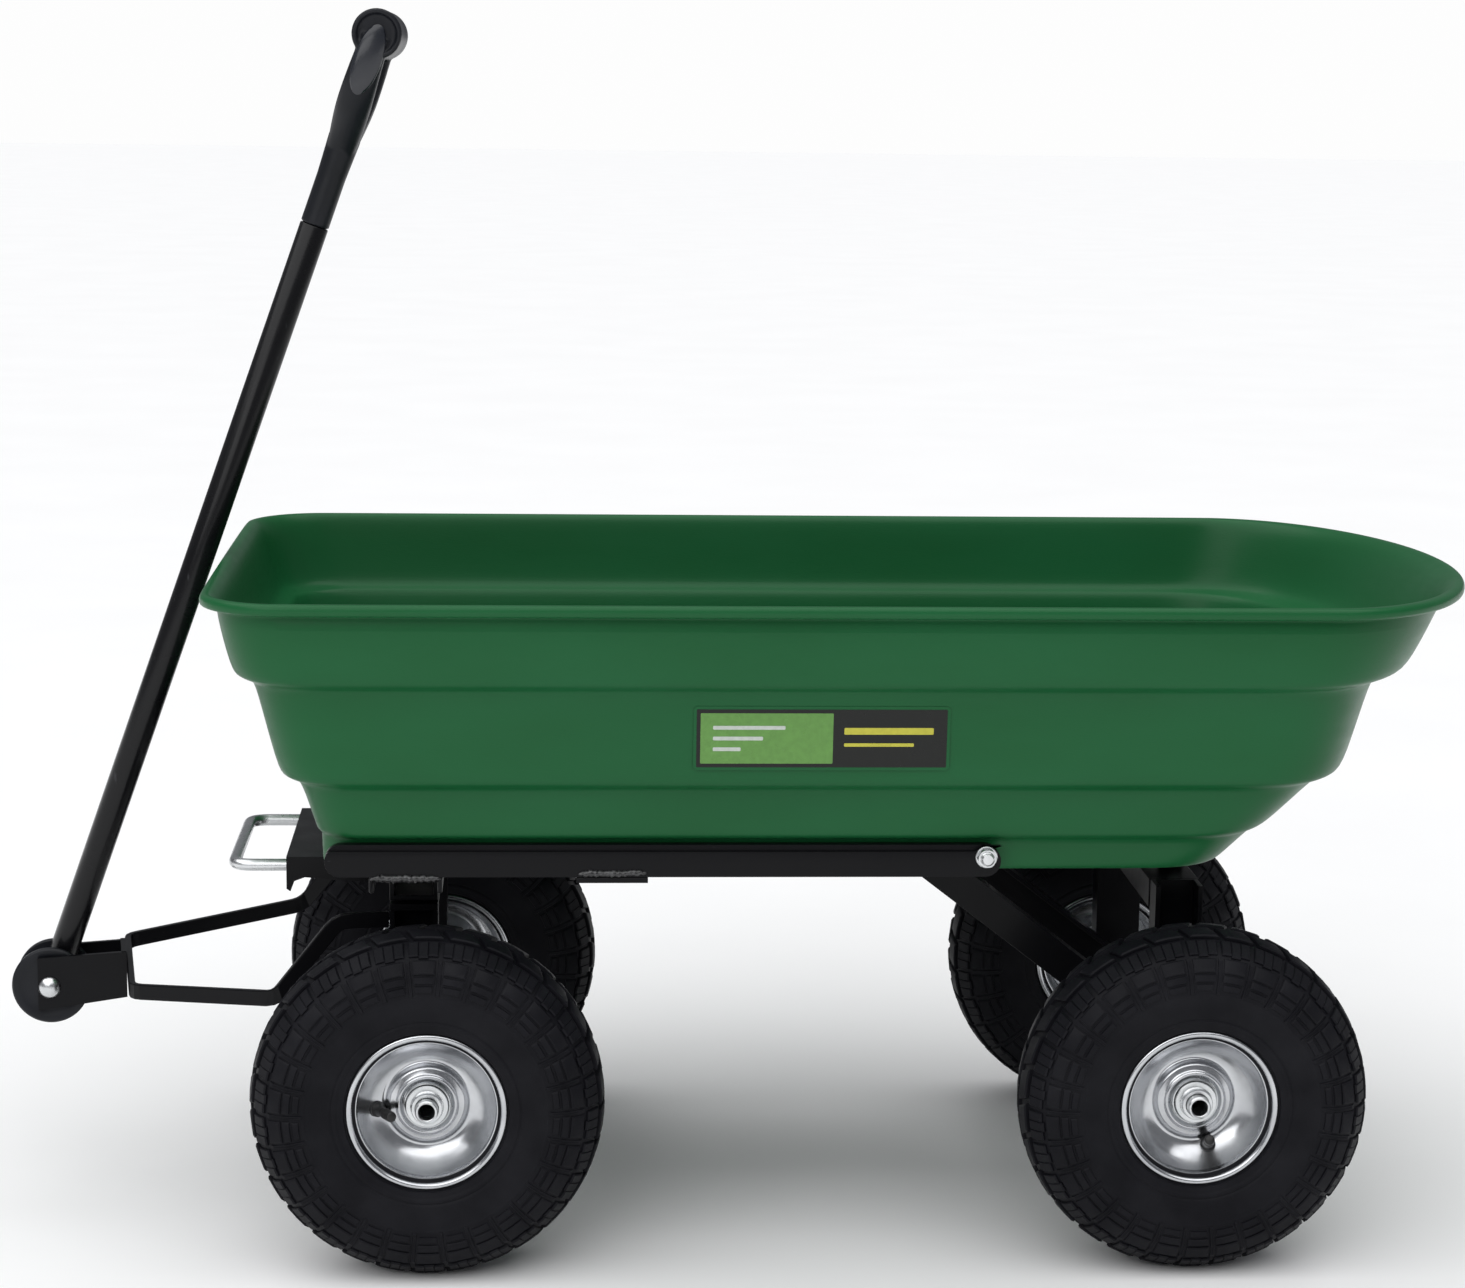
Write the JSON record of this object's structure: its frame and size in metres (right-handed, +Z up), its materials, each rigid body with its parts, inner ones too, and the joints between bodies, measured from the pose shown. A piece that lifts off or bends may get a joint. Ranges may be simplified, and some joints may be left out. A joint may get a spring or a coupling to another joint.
{
  "type": "garden cart",
  "caption": "Garden dump cart: stepped plastic tub that tips back on a steel chassis, steered front axle with pull handle, and four pneumatic wheels.",
  "frame": {"origin": "on the ground under the middle of the cart's bounding box, with the handle parked against the tub", "axes": "+X along the cart towards the dump end, +Y across to the right-hand side for someone walking ahead of the cart and pulling it, +Z up"},
  "size_m": [1.127, 0.498, 0.9182],
  "materials": {
    "tub_green": "semi-gloss moulded",
    "label_film": "gloss film",
    "frame_black": "satin powder coat",
    "zinc_steel": "bright zinc plate",
    "grip_black": "fine matte",
    "rim_steel": "pressed, bright plated",
    "tyre_rubber": "moulded rubber",
    "valve_rubber": "smooth rubber"
  },
  "bodies": {
    "chassis": {"front_crossbeam": "frame_black", "chassis_spine": "frame_black", "rear_crossbeam": "frame_black", "tip_pin": "zinc_steel", "brace_crossbar": "frame_black", "kingpin": "zinc_steel", "rear_leg_left": "frame_black", "rear_leg_right": "frame_black", "brace_left": "frame_black", "brace_right": "frame_black", "rear_axle_beam": "frame_black", "rear_axle": "zinc_steel", "axle_washer_rear_left": "zinc_steel", "axle_washer_rear_right": "zinc_steel"},
    "tub_cradle": {"tub": "tub_green", "side_label": "label_film", "rail_left": "frame_black", "rail_right": "frame_black", "rail_bolt_left": "zinc_steel", "rail_bolt_right": "zinc_steel", "front_strap": "frame_black", "mid_strap": "frame_black", "tip_hinge_plate": "frame_black", "latch_bracket": "frame_black", "latch_pin": "zinc_steel"},
    "latch": {"latch_plate": "frame_black", "release_bail": "zinc_steel"},
    "steering": {"steering_plate": "frame_black", "turntable_disc": "grip_black", "front_leg_left": "frame_black", "front_leg_right": "frame_black", "drawbar": "frame_black", "clevis": "frame_black", "pivot_bolt": "zinc_steel", "pivot_nut": "zinc_steel", "front_axle_beam": "frame_black", "front_axle": "zinc_steel", "axle_washer_front_left": "zinc_steel", "axle_washer_front_right": "zinc_steel"},
    "handle": {"handle_shaft": "frame_black", "d_grip": "grip_black", "pivot_disc_left": "grip_black", "pivot_disc_right": "grip_black"},
    "wheel_front_left": {"tyre_front_left": "tyre_rubber", "rim_front_left": "rim_steel", "hub_front_left": "zinc_steel", "valve_front_left": "valve_rubber"},
    "wheel_front_right": {"tyre_front_right": "tyre_rubber", "rim_front_right": "rim_steel", "hub_front_right": "zinc_steel", "valve_front_right": "valve_rubber"},
    "wheel_rear_left": {"tyre_rear_left": "tyre_rubber", "rim_rear_left": "rim_steel", "hub_rear_left": "zinc_steel", "valve_rear_left": "valve_rubber"},
    "wheel_rear_right": {"tyre_rear_right": "tyre_rubber", "rim_rear_right": "rim_steel", "hub_rear_right": "zinc_steel", "valve_rear_right": "valve_rubber"}
  },
  "joints": [
    {"name": "tub_tip", "type": "hinge", "parent": "chassis", "child": "tub_cradle", "pos_m": [0.3405, 0, 0.284], "axis": [0, 1, 0], "range_deg": [0, 55]},
    {"name": "latch_lift", "type": "hinge", "parent": "tub_cradle", "child": "latch", "pos_m": [-0.2895, 0, 0.272], "axis": [0, 1, 0], "range_deg": [0, 30]},
    {"name": "steer", "type": "hinge", "parent": "chassis", "child": "steering", "pos_m": [-0.245, 0, 0.2], "axis": [0, 0, 1], "range_deg": [-14, 14]},
    {"name": "handle_swing", "type": "hinge", "parent": "steering", "child": "handle", "pos_m": [-0.5335, 0, 0.163], "axis": [0, -1, 0], "range_deg": [0, 115]},
    {"name": "wheel_front_left_spin", "type": "hinge", "parent": "steering", "child": "wheel_front_left", "pos_m": [-0.2325, -0.205, 0.13], "axis": [0, 1, 0], "continuous": true},
    {"name": "wheel_front_right_spin", "type": "hinge", "parent": "steering", "child": "wheel_front_right", "pos_m": [-0.2325, 0.205, 0.13], "axis": [0, 1, 0], "continuous": true},
    {"name": "wheel_rear_left_spin", "type": "hinge", "parent": "chassis", "child": "wheel_rear_left", "pos_m": [0.3335, -0.205, 0.13], "axis": [0, 1, 0], "continuous": true},
    {"name": "wheel_rear_right_spin", "type": "hinge", "parent": "chassis", "child": "wheel_rear_right", "pos_m": [0.3335, 0.205, 0.13], "axis": [0, 1, 0], "continuous": true}
  ]
}
